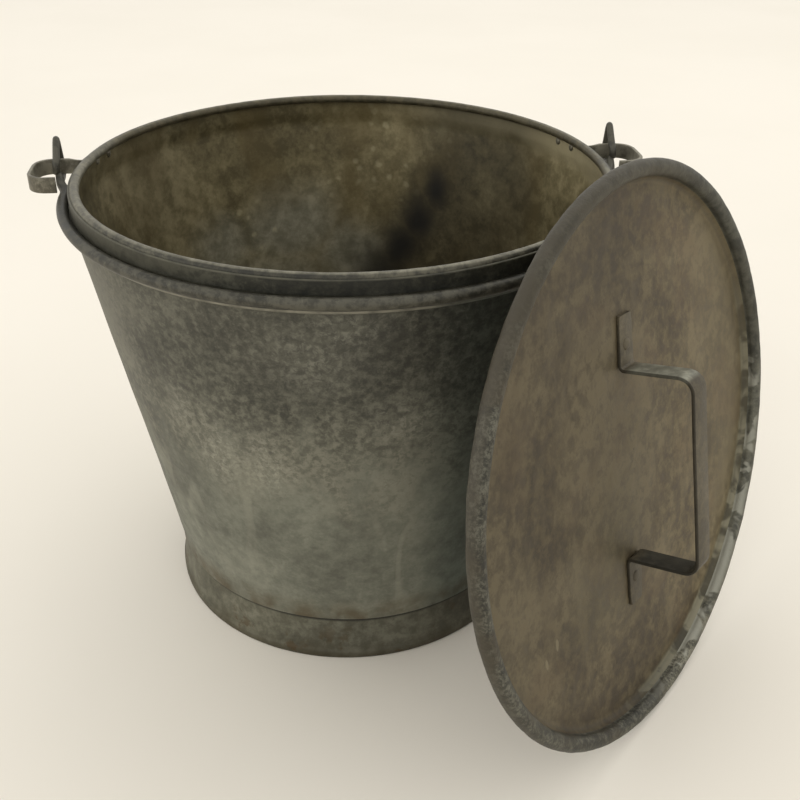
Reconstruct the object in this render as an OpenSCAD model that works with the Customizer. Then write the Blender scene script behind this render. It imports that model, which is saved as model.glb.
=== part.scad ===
// Galvanised sheet-steel bucket with a swing bail and a loose lid.
// The bucket stands on the XY plane with its axis on Z. The ears lie along X.
// The lid stands on the floor and leans towards the rim at the front right.

/* [Bucket] */
// Overall height from the floor to the top of the rolled rim
height = 276; // [200:1:350]
// Outside radius of the straight neck under the rim
neck_r = 154.2; // [120:0.1:180]
// Outside radius of the body at its lower end
body_low_r = 116; // [90:0.1:150]
// Height of the lower end of the body above the floor
body_low_z = 31; // [20:0.5:45]
// Outside radius of the body just under the shoulder bead
body_top_r = 155.2; // [120:0.1:180]
// Thickness of the body sheet
sheet = 1; // [0.7:0.1:1.5]
// Direction of the folded side seam, from the X axis
seam_az = -28; // [-180:1:180]
// Outside radius of the foot at the floor
foot_r = 118.4; // [90:0.1:150]
// Thickness of the foot sheet
foot_sheet = 1.2; // [0.8:0.1:2]

/* [Rim] */
// Outside radius of the sheet rolled over the rim wire
curl_r = 2.6; // [2:0.1:4]
// Radius of the rim wire
rim_wire_r = 1.55; // [1:0.05:3]
// Outside radius of the band round the neck
band_r = 155.3; // [120:0.1:180]
// Lower edge of the band above the floor
band_low_z = 264.8; // [240:0.1:270]
// Upper edge of the band above the floor
band_top_z = 274; // [260:0.1:276]
// Radius of the shoulder bead that the bail rests on
bead_r = 2.3; // [1.5:0.1:3]

/* [Ears and bail] */
// Hinge line of the bail behind the bucket's axis
hinge_y = 28; // [10:0.5:32]
// Height of the hinge line above the floor
hinge_z = 270.5; // [255:0.5:275]
// Height of the ear strap
ear_h = 9; // [6:0.5:14]
// Thickness of the ear strap
ear_t = 2; // [1.5:0.1:3]
// Width of the ear loop, from the wall outwards
ear_out = 24; // [18:0.5:30]
// Length of the ear loop in front of the hinge line
ear_front = 33; // [24:0.5:38]
// Diameter of the bail rod
bail_d = 6.5; // [5:0.1:8]
// Radius of the bail rod's centre line
bail_r = 159.2; // [150:0.1:175]
// Height of the resting bail above the floor
bail_z = 263.8; // [250:0.1:268]
// Diameter of the rod where it is drawn down for the eye
eye_d = 4.2; // [3.5:0.1:5]
// Inside radius of the eye
eye_in_r = 5.2; // [4.8:0.1:7]

/* [Lid] */
// Radius of the lid wire's centre line
lid_r = 154; // [130:0.5:180]
// Outside radius of the rolled lid edge
lid_curl_r = 4.5; // [3:0.1:6]
// Radius of the lid wire
lid_wire_r = 3.3; // [2:0.1:5]
// Outside radius of the pan that drops into the mouth
pan_r = 148.4; // [120:0.1:160]
// Depth of the pan floor under the lid wire
pan_depth = 5; // [3:0.1:12]
// Direction that the leaning lid faces, from the X axis
lid_az = -45.2; // [-90:0.1:0]
// Lean of the lid from upright
lid_lean = 13; // [5:0.5:30]
// Distance of the lid's centre from the bucket's axis
lid_dist = 204.5; // [190:0.5:240]
// Sideways offset of the leaning lid
lid_side = 6.5; // [-20:0.5:20]

/* [Lid handle] */
// Width of the handle strap
strap_w = 14; // [10:0.5:22]
// Thickness of the handle strap
strap_t = 2; // [1.5:0.1:3]
// Length of the grip, outside
grip_l = 112; // [90:1:140]
// Height of the grip above the pan, outside
grip_h = 42; // [30:1:55]
// Length of each foot
foot_l = 28; // [20:1:40]
// Inside bend radius of the grip corners
grip_bend = 7; // [3:0.5:12]
// Turn of the handle on the lid
handle_turn = -4.8; // [-15:0.1:15]
// Sideways offset of the handle on the lid
handle_off = -7.5; // [-15:0.5:15]

/* [Hidden] */
curl_c = neck_r - curl_r;               // radius of the rim wire's centre line
curl_z = height - curl_r;               // height of the rim wire
shoulder_z = 259.2;                     // height of the shoulder bead
bead_c = 155;                           // centre radius of the shoulder bead
slope = (body_top_r - body_low_r) / (shoulder_z - 4 - body_low_z);
ear_x0 = band_r + 0.35;                 // inner face of the ear tab
free_x = 162.8;                         // free end of the ear strap
eye_x = 166.4;                          // plane of the bail eye
lean_z = lid_r * cos(lid_lean) + lid_curl_r;
zinc = [0.47, 0.48, 0.46];
dark_zinc = [0.33, 0.34, 0.33];
bright = [0.62, 0.62, 0.59];
olive = [0.45, 0.42, 0.35];
fn_ring = 144;

function body_out(z) = body_low_r + (z - body_low_z) * slope;

module ring(fn = fn_ring) { rotate_extrude($fn = fn) children(); }

// mirror copies for the two ears
module side(s) { if (s < 0) mirror([1, 0, 0]) children(); else children(); }

// a straight piece of rod between two points
module rod(a, b, ra, rb, fn = 12) {
    hull() {
        translate(a) sphere(r = ra, $fn = fn);
        translate(b) sphere(r = rb, $fn = fn);
    }
}

module rod_chain(pts, rs, fn = 14) {
    for (i = [0:len(pts) - 2]) rod(pts[i], pts[i + 1], rs[i], rs[i + 1], fn);
}

// positions of the two rivets of an ear, as angles from the X axis
ear_rivet_az = [16.5, 22];
rivet_r = 1.6;
rivet_z = 268.2;

module at_ear_rivets(s) {
    side(s) for (a = ear_rivet_az) rotate([0, 0, a]) translate([0, 0, rivet_z]) rotate([0, 90, 0]) children();
}

module ear_rivet_holes() {
    for (s = [-1, 1]) at_ear_rivets(s) translate([0, 0, 140]) cylinder(r = rivet_r + 0.02, h = 24, $fn = 24);
}

module body_shell() {
    color(zinc) difference() {
        union() {
            ring() {
                // cone, shoulder and neck
                polygon([[body_out(body_low_z), body_low_z], [body_top_r, shoulder_z - 4],
                    [bead_c, shoulder_z], [neck_r, shoulder_z + 4], [neck_r, curl_z],
                    [neck_r - sheet, curl_z], [neck_r - sheet, shoulder_z + 3.6], [bead_c - sheet, shoulder_z],
                    [body_top_r - sheet, shoulder_z - 4], [body_out(body_low_z) - sheet, body_low_z]]);
                // pressed shoulder bead
                intersection() {
                    translate([bead_c, shoulder_z]) circle(r = bead_r, $fn = 24);
                    translate([bead_c - 0.4, shoulder_z - 5]) square([6, 10]);
                }
                // sheet rolled over the rim wire
                translate([curl_c, curl_z]) difference() {
                    circle(r = curl_r, $fn = 24);
                    circle(r = curl_r - sheet, $fn = 24);
                    rotate(-75) translate([-8, -8]) square([8, 8]);
                }
            }
            // folded side seam, inside the wall
            rotate([0, 0, seam_az]) seam();
        }
        ear_rivet_holes();
    }
}

module seam() {
    z0 = body_low_z + 14;
    z1 = shoulder_z - 8;
    rotate([0, 0, -2]) rotate_extrude(angle = 4, $fn = fn_ring)
        polygon([[body_out(z0) - sheet - 1.1, z0], [body_out(z0) - sheet + 0.3, z0],
            [body_out(z1) - sheet + 0.3, z1], [body_out(z1) - sheet - 1.1, z1]]);
}

module rim_wire() {
    color(dark_zinc) ring() translate([curl_c, curl_z]) circle(r = rim_wire_r, $fn = 20);
}

module rim_band() {
    color(dark_zinc) difference() {
        ring() {
            polygon([[neck_r + 0.02, band_low_z], [band_r, band_low_z], [band_r, band_top_z - 0.6],
                [band_r - 0.5, band_top_z], [neck_r + 0.02, band_top_z]]);
            translate([band_r - 0.6, band_low_z + 0.9]) circle(r = 0.9, $fn = 16);
        }
        // the ears' tabs sit on the plain face, so the rivets pass through
        ear_rivet_holes();
        translate([0, 0, band_low_z - 1]) cylinder(r = neck_r + 0.02, h = 12, $fn = fn_ring);
    }
}

module foot_profile() {
    polygon([[body_out(42) - sheet - 0.06, 42], [body_low_r - sheet - 0.06, body_low_z], [foot_r - 0.9, 4.5],
        [foot_r - 0.9 - foot_sheet, 4.5], [body_low_r - sheet - 0.06 - foot_sheet, body_low_z], [body_out(42) - sheet - 0.06 - foot_sheet, 42]]);
}

module foot_ring() {
    color(zinc) {
        ring() foot_profile();
        // hem turned in round the foot wire
        ring() translate([foot_r - 5.6, 0]) difference() {
            union() {
                offset(r = 1, $fn = 20) translate([1, 1]) square([3.6, 3.6]);
                translate([3.4, 0]) square([2.2, 3]);
            }
            translate([2.8, 2.8]) circle(r = 1.8, $fn = 20);
            // open joint of the hem
            translate([-1, 3.7]) square([3.4, 0.5]);
        }
    }
}

module foot_wire() {
    color(dark_zinc) ring() translate([foot_r - 2.8, 2.8]) circle(r = 1.75, $fn = 20);
}

module base_plate() {
    ri = body_low_r - sheet - 0.06 - foot_sheet - 0.06;
    k = slope;
    color(zinc) ring() {
        // flat bottom with a shallow pressed ring, and a flange up the foot's wall
        polygon([[0, 35], [70, 35], [74, 36.2], [84, 36.2], [88, 35], [ri + 3 * k - 1, 35], [ri + 10.5 * k - 1, 41.5],
            [ri + 10.5 * k, 41.5], [ri + 3 * k, 34], [87.6, 34], [83.6, 35.2], [74.4, 35.2], [70.4, 34], [0, 34]]);
    }
}

module ear_plan() {
    yb = hinge_y + ear_t / 2;
    yf = hinge_y - ear_front - ear_t / 2;
    rc = 11;
    difference() {
        union() {
            // loop
            translate([ear_x0 + rc, yf + rc]) offset(r = rc, $fn = 64) square([ear_out - 2 * rc, yb - yf - 2 * rc]);
            // back leg, straight in to the wall
            translate([ear_x0 - 6, yb - ear_t]) square([rc + 6, ear_t]);
        }
        translate([ear_x0 + rc, yf + rc]) offset(r = rc - ear_t, $fn = 64) square([ear_out - 2 * rc, yb - yf - 2 * rc]);
        translate([ear_x0 - 7, yf + rc]) square([rc + 7.02, yb - yf - rc - ear_t]);
        // mouth between the free end and the wall
        translate([ear_x0 - 5, yf - 1]) square([free_x - ear_x0 + 5, yb - yf - ear_t + 1]);
    }
}

module ear(s) {
    color(dark_zinc) side(s) difference() {
        union() {
            translate([0, 0, hinge_z - ear_h / 2]) linear_extrude(ear_h) ear_plan();
            // tab along the band
            translate([0, 0, rivet_z - ear_h / 2 + 1.2]) linear_extrude(ear_h - 1.6) intersection() {
                difference() {
                    circle(r = ear_x0 + ear_t, $fn = 288);
                    circle(r = ear_x0, $fn = 288);
                }
                polygon([[100, 100 * tan(9.9)], [200, 200 * tan(9.9)], [200, 200 * tan(25)], [100, 100 * tan(25)]]);
            }
        }
        translate([0, 0, hinge_z - ear_h]) cylinder(r = ear_x0, h = ear_h * 2, $fn = 288);
        for (a = ear_rivet_az) rotate([0, 0, a]) translate([140, 0, rivet_z]) rotate([0, 90, 0]) cylinder(r = rivet_r + 0.02, h = 24, $fn = 24);
    }
}

module ear_rivets(s) {
    color(bright) at_ear_rivets(s) {
        translate([0, 0, neck_r - sheet - 1.2]) cylinder(r = rivet_r, h = ear_x0 + ear_t - (neck_r - sheet - 1.2) + 0.6, $fn = 24);
        translate([0, 0, neck_r - sheet - 1.3]) cylinder(r1 = 1.8, r2 = 2.3, h = 1.1, $fn = 24);
        translate([0, 0, ear_x0 + ear_t + 0.06]) cylinder(r1 = 2.8, r2 = 1.9, h = 1, $fn = 24);
    }
}

module bail_end() {
    h = [eye_x, hinge_y, hinge_z];
    er = eye_in_r + eye_d / 2;
    tip = 16.5;                             // distance of the eye's tip from the hinge line
    ta = 75;                                // the eye's long axis stands up and leans back
    a0 = acos(er / tip);                    // where the straight sides leave the round part
    arc = [for (i = [0:8]) ta + a0 + i * (360 - 2 * a0) / 8];
    p = [for (a = arc) h + [0, er * cos(a), er * sin(a)]];
    pt = h + [0, tip * cos(ta), tip * sin(ta)];
    for (i = [0:7]) rod(p[i], p[i + 1], eye_d / 2, eye_d / 2);
    rod(p[0], pt, eye_d / 2, eye_d / 2 - 0.2);
    rod(p[8], pt, eye_d / 2, eye_d / 2 - 0.2);
    // shank from the eye in to the hoop
    q0 = h + [0, er * cos(205), er * sin(205)];
    rod_chain([q0, [163.6, 12.5, 264.9], [160.6, 5, 263.9], [159.2, -2.5, 263.8], [bail_r * cos(3.9), -bail_r * sin(3.9), bail_z]],
        [eye_d / 2 + 0.15, 2.6, 2.95, 3.05, bail_d / 2 - 0.05]);
}

module bail() {
    color(zinc) {
        translate([0, 0, bail_z]) rotate([0, 0, 180 + 3.5]) rotate_extrude(angle = 180 - 7, $fn = 144)
            translate([bail_r, 0]) circle(d = bail_d, $fn = 14);
        bail_end();
        mirror([1, 0, 0]) bail_end();
    }
}

// from the lid's own frame, with its outer face up, to its leaning place
module lean() {
    rotate([0, 0, lid_az]) translate([lid_dist, lid_side, lean_z]) rotate([0, 90 - lid_lean, 0]) children();
}

module lid_pan() {
    h = -pan_depth;
    color(olive) lean() difference() {
        union() {
            // floor with a slight dish, and the wall up to the rolled edge
            ring() polygon([[0, h - 0.6], [52, h - 0.4], [58, h], [pan_r - 1.2, h], [pan_r + 0.3, h + 1.4], [pan_r + 1.2, h + 4.4],
                [pan_r + 2, h + 4.4], [pan_r + 1.7, h + 1.2], [pan_r, h - 1], [58, h - 1], [52, h - 1.4], [0, h - 1.6]]);
            ring() translate([lid_r, 0]) difference() {
                circle(r = lid_curl_r, $fn = 28);
                circle(r = lid_wire_r + 0.05, $fn = 28);
                // open joint of the rolled edge, under the lid
                rotate(-70) translate([lid_wire_r - 0.6, -0.25]) square([3, 0.5]);
            }
        }
        at_lid_rivets() translate([0, 0, -12]) cylinder(r = 1.82, h = 24, $fn = 24);
    }
}

module lid_wire() {
    color(dark_zinc) lean() ring() translate([lid_r, 0]) circle(r = lid_wire_r, $fn = 24);
}

module on_lid() { translate([0, handle_off, 0]) rotate([0, 0, handle_turn]) children(); }

module at_lid_rivets() {
    on_lid() for (s = [-1, 1]) translate([s * (grip_l / 2 + foot_l / 2 - 2), 0, 0]) children();
}

// points on an arc
function arc(cx, cy, r, a0, a1, n) = [for (i = [0:n]) [cx + r * cos(a0 + (a1 - a0) * i / n), cy + r * sin(a0 + (a1 - a0) * i / n)]];

// one half of the strap's edge view, outer line from the middle of the grip to the end of a foot, and back inside
function handle_half(l, z0, z1, R, ri) = concat(
    [[0, z1]], arc(l - R, z1 - R, R, 90, 0, 10), arc(l + ri, z0 + strap_t + ri, ri, 180, 270, 6),
    [[l + foot_l, z0 + strap_t], [l + foot_l, z0]],
    arc(l + ri, z0 + strap_t + ri, ri + strap_t, 270, 180, 6), arc(l - R, z1 - R, R - strap_t, 0, 90, 10), [[0, z1 - strap_t]]);

module handle_side() {
    z0 = -pan_depth + 0.02;
    half = handle_half(grip_l / 2, z0, z0 + grip_h, grip_bend + strap_t, 1.6);
    m = len(half) - 2;
    polygon(concat([for (i = [1:m]) half[i]], [for (i = [m:-1:1]) [-half[i][0], half[i][1]]]));
}

module lid_handle() {
    color(olive) lean() difference() {
        on_lid() translate([0, strap_w / 2, 0]) rotate([90, 0, 0]) linear_extrude(strap_w) handle_side();
        at_lid_rivets() translate([0, 0, -12]) cylinder(r = 1.82, h = 24, $fn = 24);
    }
}

module lid_rivets() {
    color(bright) lean() at_lid_rivets() {
        translate([0, 0, -pan_depth - 1.9]) cylinder(r = 1.8, h = strap_t + 2.4, $fn = 24);
        translate([0, 0, -pan_depth - 1.9]) cylinder(r1 = 2.2, r2 = 3.2, h = 0.85, $fn = 24);
        translate([0, 0, -pan_depth + strap_t + 0.05]) cylinder(r1 = 3.4, r2 = 2.4, h = 0.9, $fn = 24);
    }
}

body_shell();
rim_wire();
rim_band();
base_plate();
foot_ring();
foot_wire();
ear(-1);  // ear_left
ear(1);  // ear_right
ear_rivets(-1);  // ear_rivets_left
ear_rivets(1);  // ear_rivets_right
bail();
lid_pan();
lid_wire();
lid_handle();
lid_rivets();
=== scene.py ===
import bpy
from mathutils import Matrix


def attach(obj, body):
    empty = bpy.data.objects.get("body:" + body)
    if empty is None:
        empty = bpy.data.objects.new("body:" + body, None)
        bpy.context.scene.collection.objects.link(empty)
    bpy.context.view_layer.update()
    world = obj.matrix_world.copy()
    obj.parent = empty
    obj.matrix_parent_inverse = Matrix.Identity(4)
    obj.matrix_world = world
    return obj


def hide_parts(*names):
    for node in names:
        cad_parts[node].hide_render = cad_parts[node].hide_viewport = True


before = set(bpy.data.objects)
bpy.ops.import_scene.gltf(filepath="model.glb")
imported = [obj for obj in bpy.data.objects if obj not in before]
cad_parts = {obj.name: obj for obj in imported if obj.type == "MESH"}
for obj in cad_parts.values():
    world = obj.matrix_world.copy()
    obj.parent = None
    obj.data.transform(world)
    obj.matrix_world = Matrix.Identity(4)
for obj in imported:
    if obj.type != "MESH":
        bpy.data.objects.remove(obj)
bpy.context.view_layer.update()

import bpy, math
import numpy as np
from mathutils import Vector, Matrix, noise

MM = 0.001
scene = bpy.context.scene
scene.view_settings.view_transform = "Standard"

# ---------------------------------------------------------------- camera
cam_data = bpy.data.cameras.new("camera")
cam_data.lens = 45.42
cam_data.sensor_width = 36.0
cam_data.clip_start, cam_data.clip_end = 0.02, 30
cam = bpy.data.objects.new("camera", cam_data)
scene.collection.objects.link(cam)
fwd = Vector((0.106206, 0.846042, -0.52243)).normalized()
right = Vector((0.992876, -0.118778, 0.00949)).normalized()
up = right.cross(fwd).normalized()
right = fwd.cross(up)
m = Matrix((right, up, -fwd)).transposed().to_4x4()
m.translation = Vector((-0.03783, -0.569563, 0.465339))
cam.matrix_world = m
scene.camera = cam

# ---------------------------------------------------------------- the leaning lid and its handle
az, el = math.radians(-45.2), math.radians(13)
N = Vector((math.cos(el) * math.cos(az), math.cos(el) * math.sin(az), math.sin(el)))
V = Vector((-math.sin(el) * math.cos(az), -math.sin(el) * math.sin(az), math.cos(el)))
X = -V
Y = N.cross(X)
LID = Matrix((X, Y, N)).transposed().to_4x4()
lc = Matrix.Rotation(az, 3, "Z") @ Vector((204.5, 6.5, 154.0 * math.cos(el) + 4.5))
LID.translation = lc * MM
HM = LID @ Matrix.Translation(Vector((0, -7.5, 0)) * MM) @ Matrix.Rotation(math.radians(-4.8), 4, "Z")

# ---------------------------------------------------------------- shader helper


def lin(r, g, b, k=1.0):
    """Linear colour from the 0 to 255 scale."""
    f = lambda c: (c / 255 / 12.92 if c / 255 <= 0.04045 else ((c / 255 + 0.055) / 1.055) ** 2.4) * k
    return (f(r), f(g), f(b), 1.0)


class Mat:
    def __init__(s, name, place=None):
        s.mat = bpy.data.materials.new(name)
        s.mat.use_nodes = True
        s.nt = s.mat.node_tree
        s.nt.nodes.clear()
        s.out = s.nt.nodes.new("ShaderNodeOutputMaterial")
        s.b = s.nt.nodes.new("ShaderNodeBsdfPrincipled")
        s.nt.links.new(s.b.outputs[0], s.out.inputs[0])
        s.P = s.nt.nodes.new("ShaderNodeTexCoord").outputs["Object"]
        if place is not None:   # coordinates in the part's own frame
            n = s.nt.nodes.new("ShaderNodeMapping")
            n.vector_type = "TEXTURE"
            n.inputs["Location"].default_value = place.translation
            n.inputs["Rotation"].default_value = place.to_euler("XYZ")
            s.nt.links.new(s.P, n.inputs["Vector"])
            s.P = n.outputs[0]

    def put(s, sock, v):
        if isinstance(v, bpy.types.NodeSocket):
            s.nt.links.new(v, sock)
        elif v is not None:
            sock.default_value = v

    def math(s, op, a, b=None, c=None, clamp=False):
        n = s.nt.nodes.new("ShaderNodeMath")
        n.operation, n.use_clamp = op, clamp
        for i, v in enumerate((a, b, c)):
            if v is not None:
                s.put(n.inputs[i], v)
        return n.outputs[0]

    def mapr(s, x, a, b, c=0.0, d=1.0, smooth=True):
        n = s.nt.nodes.new("ShaderNodeMapRange")
        n.interpolation_type = "SMOOTHSTEP" if smooth else "LINEAR"
        n.clamp = True
        for i, v in enumerate((x, a, b, c, d)):
            s.put(n.inputs[i], v)
        return n.outputs[0]

    def noise(s, scale, detail=3.0, rough=0.55, dist=0.0, vec=None):
        n = s.nt.nodes.new("ShaderNodeTexNoise")
        s.put(n.inputs["Vector"], s.P if vec is None else vec)
        n.inputs["Scale"].default_value = scale
        n.inputs["Detail"].default_value = detail
        n.inputs["Roughness"].default_value = rough
        n.inputs["Distortion"].default_value = dist
        return n.outputs["Fac"]

    def vor(s, scale, vec=None, rand=1.0, feature="F1", out="Distance"):
        n = s.nt.nodes.new("ShaderNodeTexVoronoi")
        n.feature = feature
        s.put(n.inputs["Vector"], s.P if vec is None else vec)
        n.inputs["Scale"].default_value = scale
        n.inputs["Randomness"].default_value = rand
        return n.outputs[out]

    def mapping(s, scale=(1, 1, 1), rot=(0, 0, 0), loc=(0, 0, 0), vec=None):
        n = s.nt.nodes.new("ShaderNodeMapping")
        s.put(n.inputs["Vector"], s.P if vec is None else vec)
        n.inputs["Location"].default_value = loc
        n.inputs["Rotation"].default_value = [math.radians(a) for a in rot]
        n.inputs["Scale"].default_value = scale
        return n.outputs[0]

    def ramp(s, fac, stops):
        n = s.nt.nodes.new("ShaderNodeValToRGB")
        e = n.color_ramp.elements
        while len(e) < len(stops):
            e.new(0.5)
        for el, (p, c) in zip(e, stops):
            el.position = p
            el.color = c if isinstance(c, tuple) else (c, c, c, 1)
        s.put(n.inputs[0], fac)
        return n.outputs[0]

    def mix(s, fac, a, b, mode="MIX"):
        n = s.nt.nodes.new("ShaderNodeMix")
        n.data_type = "RGBA"
        n.blend_type = mode
        n.clamp_factor = True
        s.put(n.inputs[0], fac)
        s.put(n.inputs[6], a)
        s.put(n.inputs[7], b)
        return n.outputs[2]

    def vmath(s, op, a, b=None, out=0, scale=None):
        n = s.nt.nodes.new("ShaderNodeVectorMath")
        n.operation = op
        s.put(n.inputs[0], a)
        if b is not None:
            s.put(n.inputs[1], b)
        if scale is not None:
            s.put(n.inputs["Scale"], scale)
        return n.outputs[out]

    def sep(s, vec=None):
        n = s.nt.nodes.new("ShaderNodeSeparateXYZ")
        s.put(n.inputs[0], s.P if vec is None else vec)
        return n.outputs[0], n.outputs[1], n.outputs[2]

    def comb(s, x, y, z):
        n = s.nt.nodes.new("ShaderNodeCombineXYZ")
        for i, v in enumerate((x, y, z)):
            s.put(n.inputs[i], v)
        return n.outputs[0]

    def wobble(s, amount, scale):
        """Coordinates pushed about by noise, in metres."""
        n = s.nt.nodes.new("ShaderNodeTexNoise")
        s.put(n.inputs["Vector"], s.P)
        n.inputs["Scale"].default_value = scale
        n.inputs["Detail"].default_value = 3
        d = s.vmath("SUBTRACT", n.outputs["Color"], (0.5, 0.5, 0.5))
        return s.vmath("ADD", s.P, s.vmath("SCALE", d, scale=amount))

    def blob(s, c, r, soft=0.6, stretch=(1, 1, 1), vec=None):
        """A soft patch round a point: centre and radius in mm."""
        v = s.vmath("SUBTRACT", s.P if vec is None else vec, tuple(x * MM for x in c))
        v = s.vmath("MULTIPLY", v, stretch)
        d = s.vmath("LENGTH", v, out=1)
        return s.mapr(d, r * MM * (1 - soft), r * MM, 1.0, 0.0)

    def max(s, *vals):
        o = vals[0]
        for v in vals[1:]:
            o = s.math("MAXIMUM", o, v)
        return o

    def bump(s, h, strength, dist, normal=None):
        n = s.nt.nodes.new("ShaderNodeBump")
        n.inputs["Strength"].default_value = strength
        n.inputs["Distance"].default_value = dist
        s.put(n.inputs["Height"], h)
        if normal is not None:
            s.put(n.inputs["Normal"], normal)
        return n.outputs[0]

    def finish(s, color, rough, metallic=0.25, normal=None, spec=0.5, gain=None):
        if gain is not None:
            color = s.mix(1.0, color, gain, "MULTIPLY")
        s.put(s.b.inputs["Base Color"], color)
        s.put(s.b.inputs["Roughness"], rough)
        s.b.inputs["Metallic"].default_value = metallic
        s.b.inputs["Specular IOR Level"].default_value = spec
        if normal is not None:
            s.put(s.b.inputs["Normal"], normal)
        return s.mat


K = 1.40   # reflectance of the metal against the tones seen on it


def patina(s, dark, mid, light, mottle=1.0, grain=150, seed=(0, 0, 0)):
    """Weathered zinc: broad clouds, a crystalline mottle and fine speckle. Returns colour, height, and the mottle."""
    v = s.mapping(loc=seed)
    cloud = s.noise(11, 4, 0.55, 0.4, v)
    mot = s.noise(grain, 5, 0.68, 0.2, v)
    cell = s.vor(grain * 1.15, s.vmath("ADD", v, s.vmath("SCALE", s.comb(mot, mot, mot), scale=0.004)))
    fine = s.noise(grain * 4.5, 3, 0.6, 0, v)
    f = s.math("ADD", s.math("MULTIPLY", s.mapr(cloud, 0.3, 0.7), 0.45), s.math("MULTIPLY", s.mapr(mot, 0.34, 0.66), 0.40 * mottle))
    f = s.math("ADD", f, s.math("MULTIPLY", s.mapr(cell, 0.1, 0.75), 0.08 * mottle))
    f = s.math("ADD", f, s.math("MULTIPLY", s.mapr(fine, 0.3, 0.7), 0.10))
    col = s.ramp(f, [(0.20, dark), (0.49, mid), (0.80, light)])
    h = s.math("ADD", s.math("MULTIPLY", mot, 0.6), s.math("MULTIPLY", fine, 0.4))
    return col, h, mot


# ---------------------------------------------------------------- materials


def make_outside():
    s = Mat("zinc_outside")
    x, y, z = s.sep()
    w = s.wobble(0.018, 28)
    # smears run down and to the right across the front
    sm = s.mapping(scale=(1.0, 1.0, 0.33), rot=(0, 24, 0))
    smear = s.noise(46, 4, 0.6, 0.6, sm)
    col, h, mot = patina(s, lin(62, 61, 53, K), lin(92, 91, 79, K), lin(124, 122, 108, K), 1.1, 230)
    # smoother grey-green zinc in the lower half, also painted lighter there to stand in for light from the floor
    low_col, low_h, low_m = patina(s, lin(84, 84, 74, K), lin(104, 105, 93, K), lin(124, 124, 111, K), 0.6, 110, (0.3, 0.1, 0.2))
    low = s.mapr(s.math("ADD", z, s.math("MULTIPLY", s.math("SUBTRACT", smear, 0.5), 0.18)), 0.095, 0.185, 1.0, 0.0)
    col = s.mix(low, col, low_col)
    # pale crusty bloom
    bloom = s.max(s.blob((-28, -149, 231), 42, 0.9, (1, 1, 1.2), w), s.blob((-14, -154, 247), 34, 0.9, (1, 1, 1.5), w),
                  s.blob((-78, -115, 160), 34, 0.9, (1.3, 1, 0.7), w), s.blob((-54, -128, 158), 30, 0.9, (1.3, 1, 0.7), w),
                  s.blob((-95, -107, 186), 26, 0.9, (1.6, 1, 0.7), w), s.blob((20, -140, 190), 30, 0.9, (1, 1, 1), w))
    crust = s.mapr(s.noise(260, 4, 0.7, 0.5), 0.45, 0.64)
    bl = s.math("MULTIPLY", bloom, s.math("ADD", s.math("MULTIPLY", crust, 0.50), 0.14))
    col = s.mix(bl, col, lin(152, 150, 135, K))
    # long pale rubs
    rub = s.mapr(s.noise(30, 2, 0.5, 1.2, s.mapping(scale=(1.3, 1.3, 0.30), rot=(0, 20, 0), loc=(0.13, 0, 0.05))), 0.60, 0.74)
    col = s.mix(s.math("MULTIPLY", rub, 0.30), col, lin(140, 139, 124, K))
    # dark crystalline patches, plus a band of painted shade under the shoulder
    band = s.mapr(s.math("ADD", z, s.math("MULTIPLY", s.math("SUBTRACT", smear, 0.5), 0.05)), 0.205, 0.252)
    dark_patches_and_shade = s.max(s.blob((-70, -137, 243), 46, 0.9, (1, 1, 1.3), w), s.blob((-50, -143, 226), 34, 0.9, (1, 1, 1.3), w), s.blob((12, -156, 240), 46, 0.9, (1, 1, 1.4), w),
                  s.blob((-110, -95, 214), 40, 0.9, (1, 1, 0.8), w), s.math("MULTIPLY", band, 0.6))
    dk = s.mapr(s.noise(240, 5, 0.72, 0.3, s.mapping(loc=(0.5, 0.2, 0.1))), 0.40, 0.60)
    col = s.mix(s.math("MULTIPLY", dark_patches_and_shade, s.math("ADD", s.math("MULTIPLY", dk, 0.48), 0.12)), col, lin(58, 56, 48, K))
    # brown at the lap of the foot
    br = s.math("MULTIPLY", s.mapr(z, 0.034, 0.052, 1.0, 0.0), s.mapr(s.noise(60, 3), 0.35, 0.65, 0.2, 0.8))
    col = s.mix(br, col, lin(80, 70, 50, K))
    # painted highlight: a thin bright line along the crest of the shoulder bead
    rr = s.vmath("LENGTH", s.comb(x, y, 0.0), out=1)
    edge = s.math("MULTIPLY", s.mapr(rr, 0.1564, 0.1571), s.mapr(s.noise(90, 3), 0.3, 0.6, 0.35, 0.9))
    col = s.mix(edge, col, lin(158, 154, 138, K))
    rough = s.mapr(mot, 0.3, 0.7, 0.52, 0.70, False)
    n1 = s.bump(s.noise(14, 2, 0.5, 0.3), 0.25, 0.004)
    n2 = s.bump(h, 0.22, 0.0006, n1)
    # painted shade: darker under the shoulder, and darker and colder to the right where the lid shades the body
    g = s.mix(s.mapr(x, 0.015, 0.060), s.mapr(z, 0.13, 0.22, 0.85, 0.53), (0.55, 0.63, 0.66, 1.0), "MULTIPLY")
    return s.finish(col, rough, 0.35, n2, gain=g)


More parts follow.
